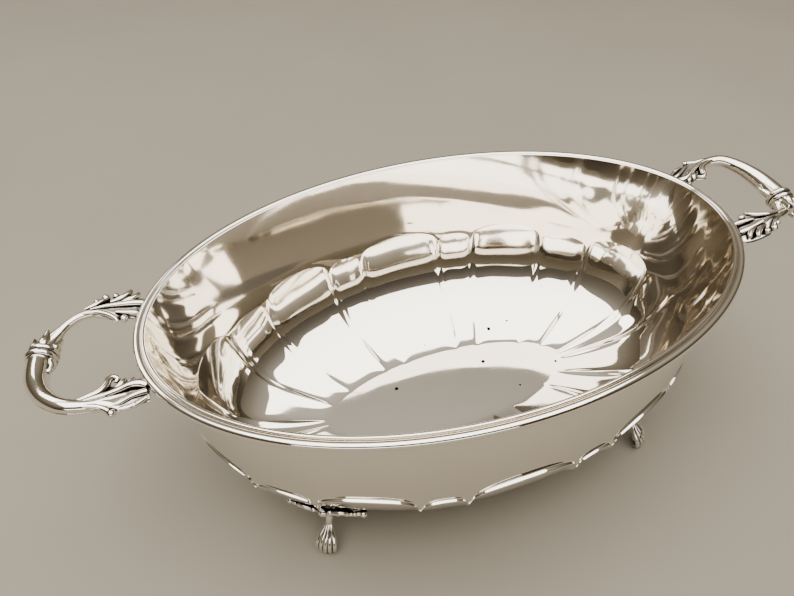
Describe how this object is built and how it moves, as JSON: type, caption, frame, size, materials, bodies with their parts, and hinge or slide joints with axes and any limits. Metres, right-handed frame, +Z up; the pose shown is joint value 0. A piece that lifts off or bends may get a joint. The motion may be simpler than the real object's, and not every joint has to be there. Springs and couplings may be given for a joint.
{
  "type": "footed oval serving bowl with two handles",
  "caption": "Oval fluted serving bowl in polished silver, with a moulded rim, a scrolled leaf handle at each end and splayed leaf feet.",
  "frame": {"origin": "on the table, midway between the toes, under the middle of the bowl", "axes": "+X along the long axis towards the right handle, +Y to the back, +Z up out of the bowl"},
  "size_m": [0.2476, 0.1192, 0.0749],
  "materials": {
    "polished_silver": "mirror polished silver, faintly warm",
    "oxidised_silver": "polished cast silver with tarnish left in the recesses"
  },
  "bodies": {
    "root": {"bowl_body": "polished_silver", "rim_wire": "polished_silver", "handle_left_lower_arm": "polished_silver", "handle_left_calyx": "oxidised_silver", "handle_left_upper_arm": "polished_silver", "handle_left_collar": "polished_silver", "handle_left_lower_leaf": "oxidised_silver", "handle_left_upper_leaf": "oxidised_silver", "handle_right_lower_arm": "polished_silver", "handle_right_calyx": "oxidised_silver", "handle_right_upper_arm": "polished_silver", "handle_right_collar": "polished_silver", "handle_right_lower_leaf": "oxidised_silver", "handle_right_upper_leaf": "oxidised_silver", "foot_front_right_leaf": "oxidised_silver", "foot_front_right_leg": "polished_silver", "foot_back_right_leaf": "oxidised_silver", "foot_back_right_leg": "polished_silver", "foot_back_left_leaf": "oxidised_silver", "foot_back_left_leg": "polished_silver", "foot_front_left_leaf": "oxidised_silver", "foot_front_left_leg": "polished_silver"}
  },
  "joints": []
}
